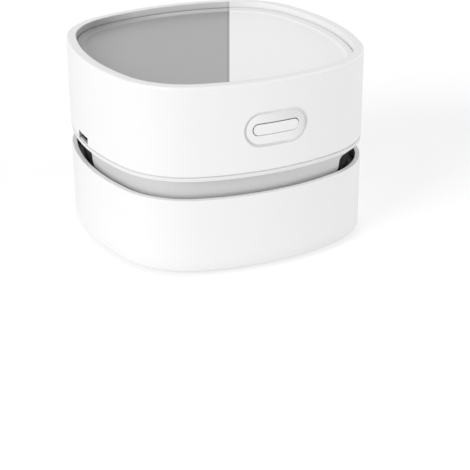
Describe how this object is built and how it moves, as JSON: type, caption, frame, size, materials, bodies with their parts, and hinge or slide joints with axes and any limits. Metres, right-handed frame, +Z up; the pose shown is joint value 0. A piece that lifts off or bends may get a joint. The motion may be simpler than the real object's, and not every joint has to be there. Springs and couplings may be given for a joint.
{
  "type": "desktop vacuum cleaner",
  "caption": "Palm-sized rounded-square desk vacuum: dust box below, motor unit above, an exhaust gap round the waist and a side push button.",
  "frame": {"origin": "centre of the footprint, on the surface that the foot pads rest on", "axes": "+Z up, the power button faces -Y, the charging port faces -X"},
  "size_m": [0.088, 0.088, 0.0602],
  "materials": {
    "shell_white": "white ABS, moulded, satin gloss",
    "button_white": "white ABS, moulded, satin gloss",
    "panel_two_tone": "ABS panel, grey on one side of a straight split and white on the other",
    "neck_silver": "satin silver band",
    "screen_dark": "black woven nylon screen",
    "housing_dark": "black ABS, moulded",
    "fan_white": "natural polypropylene, moulded",
    "pad_grey": "grey silicone foot pad",
    "brush_grey": "grey ABS, moulded",
    "bristle_dark": "black nylon bristle",
    "screw_steel": "zinc-plated steel",
    "filter_grey": "grey ABS, moulded",
    "mesh_nylon": "fine nylon mesh",
    "pad_fibre": "non-woven filter felt",
    "seal_rubber": "black silicone seal",
    "motor_steel": "drawn zinc-plated steel can",
    "motor_plastic": "black nylon",
    "bronze": "sintered bronze",
    "terminal_brass": "tinned brass",
    "damper_rubber": "black foam rubber",
    "shaft_steel": "ground steel",
    "cell_wrap": "blue heat-shrink sleeve on a steel cell",
    "tab_nickel": "nickel strip",
    "board_green": "green glass-fibre circuit board",
    "socket_steel": "plated steel shell",
    "plunger_plastic": "black nylon"
  },
  "bodies": {
    "dust_box": {"lower_shell": "shell_white", "brush_ring": "brush_grey", "bristle_tufts": "bristle_dark", "brush_screws": "screw_steel", "feet": "pad_grey"},
    "filter": {"filter_frame": "filter_grey", "filter_mesh": "mesh_nylon", "filter_pad": "pad_fibre", "filter_gasket": "seal_rubber"},
    "motor_unit": {"upper_shell": "shell_white", "top_panel": "panel_two_tone", "motor_plate": "shell_white", "neck_ring": "neck_silver", "exhaust_screens": "screen_dark", "fan_housing": "housing_dark", "housing_screws": "screw_steel", "case_screws": "screw_steel", "motor_can": "motor_steel", "motor_end_cap": "motor_plastic", "motor_bushing": "bronze", "motor_terminals": "terminal_brass", "motor_damper": "damper_rubber", "motor_screws": "screw_steel", "battery_cell": "cell_wrap", "battery_tabs": "tab_nickel", "charge_board": "board_green", "charge_screws": "screw_steel", "charge_socket": "socket_steel", "socket_tongue": "motor_plastic", "switch_board": "board_green", "switch_screws": "screw_steel", "push_switch": "motor_plastic"},
    "fan": {"impeller": "fan_white", "motor_shaft": "shaft_steel"},
    "button": {"power_button": "button_white", "switch_plunger": "plunger_plastic"}
  },
  "joints": [
    {"name": "body_lift", "type": "slide", "parent": "dust_box", "child": "motor_unit", "axis": [0, 0, 1], "range_m": [0, 0.045]},
    {"name": "filter_lift", "type": "slide", "parent": "dust_box", "child": "filter", "axis": [0, 0, 1], "range_m": [0, 0.0225]},
    {"name": "fan_spin", "type": "hinge", "parent": "motor_unit", "child": "fan", "pos_m": [0, 0, 0.026], "axis": [0, 0, 1], "continuous": true},
    {"name": "button_press", "type": "slide", "parent": "motor_unit", "child": "button", "axis": [0, 1, 0], "range_m": [0, 0.0005], "stiffness_N_per_m": 1500}
  ],
  "couplings": [
    {"joint": "filter_lift", "follows": "body_lift", "ratio": 0.5}
  ]
}
